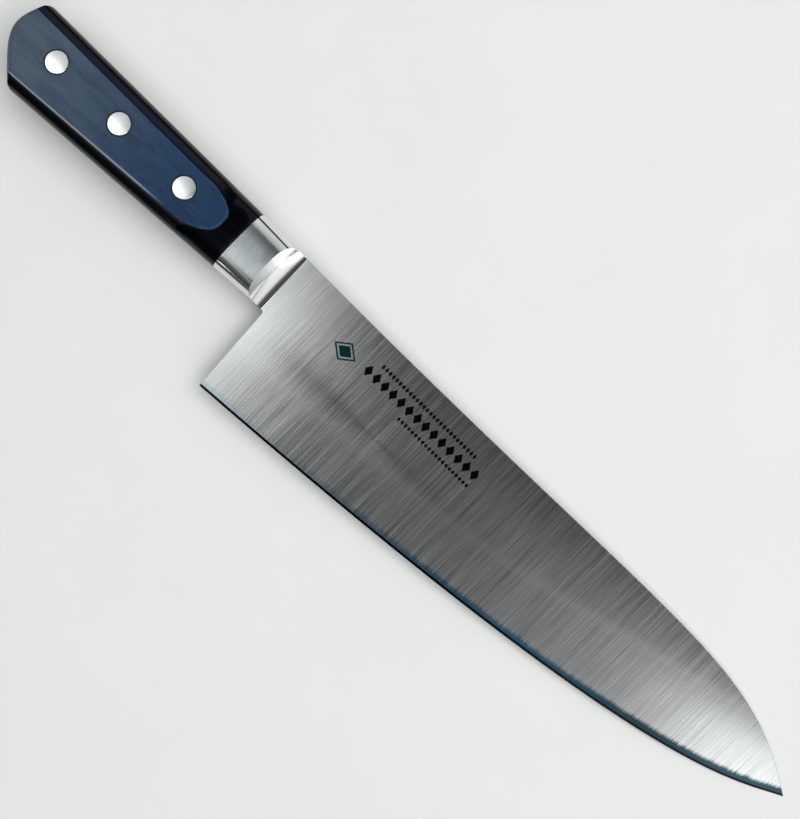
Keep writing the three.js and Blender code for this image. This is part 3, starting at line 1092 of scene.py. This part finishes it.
# And across it, by the angle of a direction from straight up, towards the spine side.
ACROSS = (
    (-90, 0.08), (-60, 0.04), (-46, 0.08), (-37, 0.2), (-31, 0.52), (-25, 1.0), (-12, 1.0),
    (-6.7, 0.78), (-5.4, 0.99), (-4.2, 1.1), (-3, 1.05), (-1.9, 0.82), (-0.82, 0.53), (0, 0.44),
    (2, 0.4), (8.5, 0.3), (15, 0.19), (22, 0.18), (29, 0.26), (33, 0.36), (42, 0.46), (58, 0.42),
    (72, 0.34), (78, 0.06), (84, 0.01), (90, 0.01))

# Beyond its middle, the room's dark patch grows wider towards the spine side.
DARK_MIDDLE = 0.05  # slope towards the tip
DARK_SPREAD = 14  # widening for each unit of slope across
SPREAD_FROM = -0.032  # slope across at which it begins
SPREAD_MOST = 0.45

BACKDROP = 0.86  # how bright the room looks straight from the camera
ROOM_TINT = (0.97, 1.0, 0.995, 1)
LEAST_RISE = 0.02  # keeps slopes finite for directions at and below the horizon


def studio():
    """A soft bright room, with a dark patch straight above the knife."""
    world = bpy.data.worlds.new("studio")
    bpy.context.scene.world = world
    shader = Shader(world)
    direction = shader.add("TexCoord").outputs["Generated"]
    x, y, z = shader.add("SeparateXYZ", {0: direction}).outputs
    up = shader.math("MAXIMUM", z, LEAST_RISE)
    slope = shader.math("DIVIDE", x, up)
    beyond = shader.math("MAXIMUM", shader.math("SUBTRACT", slope, DARK_MIDDLE), 0.0)
    sideways = shader.math("SUBTRACT", shader.math("DIVIDE", y, up), SPREAD_FROM)
    widening = shader.math("MULTIPLY", sideways, DARK_SPREAD)
    widening = shader.math("MINIMUM", shader.math("MAXIMUM", widening, 0.0), SPREAD_MOST)
    slope = shader.math("SUBTRACT", slope, shader.math("MULTIPLY", beyond, widening))
    along = shader.ramp(slope, ALONG)
    tilt = shader.math("DEGREES", shader.math("ARCTAN2", y, up))
    room = shader.math("MULTIPLY", along, shader.ramp(tilt, ACROSS))
    seen = shader.add("LightPath").outputs["Is Camera Ray"]
    background = world.node_tree.nodes["Background"]
    background.inputs["Color"].default_value = ROOM_TINT
    shader.feed(background.inputs["Strength"], shader.mix(seen, room, BACKDROP))


def softbox(name, location, size, power, in_reflections):
    """A round lamp aimed at the knife."""
    light = bpy.data.lights.new(name, "AREA")
    light.shape = "DISK"
    light.size = size
    light.energy = power
    obj = bpy.data.objects.new(name, light)
    obj.location = location
    obj.rotation_euler = (-Vector(location)).to_track_quat("-Z", "Y").to_euler()
    obj.visible_glossy = in_reflections
    bpy.context.scene.collection.objects.link(obj)


def camera():
    """Looks straight down on the knife, turned so that the tip is at the lower right."""
    height, turn = 470, math.radians(44.62)
    aim_x, aim_y = 120.95, -2.03
    data = bpy.data.cameras.new("camera")
    data.sensor_width = 36
    data.lens = 60.9
    obj = bpy.data.objects.new("camera", data)
    obj.location = (aim_x * MM, aim_y * MM, (CENTRE_Z + height) * MM)
    obj.rotation_euler = (0, 0, turn)
    bpy.context.scene.collection.objects.link(obj)
    bpy.context.scene.camera = obj


floor()
studio()
softbox("fill", location=(0.5, 0.5, 1.6), size=1.6, power=22, in_reflections=False)
softbox("glint", location=(-0.15, -1.35, 0.6), size=0.1, power=0.06, in_reflections=True)
camera()
bpy.context.scene.view_settings.view_transform = "Standard"
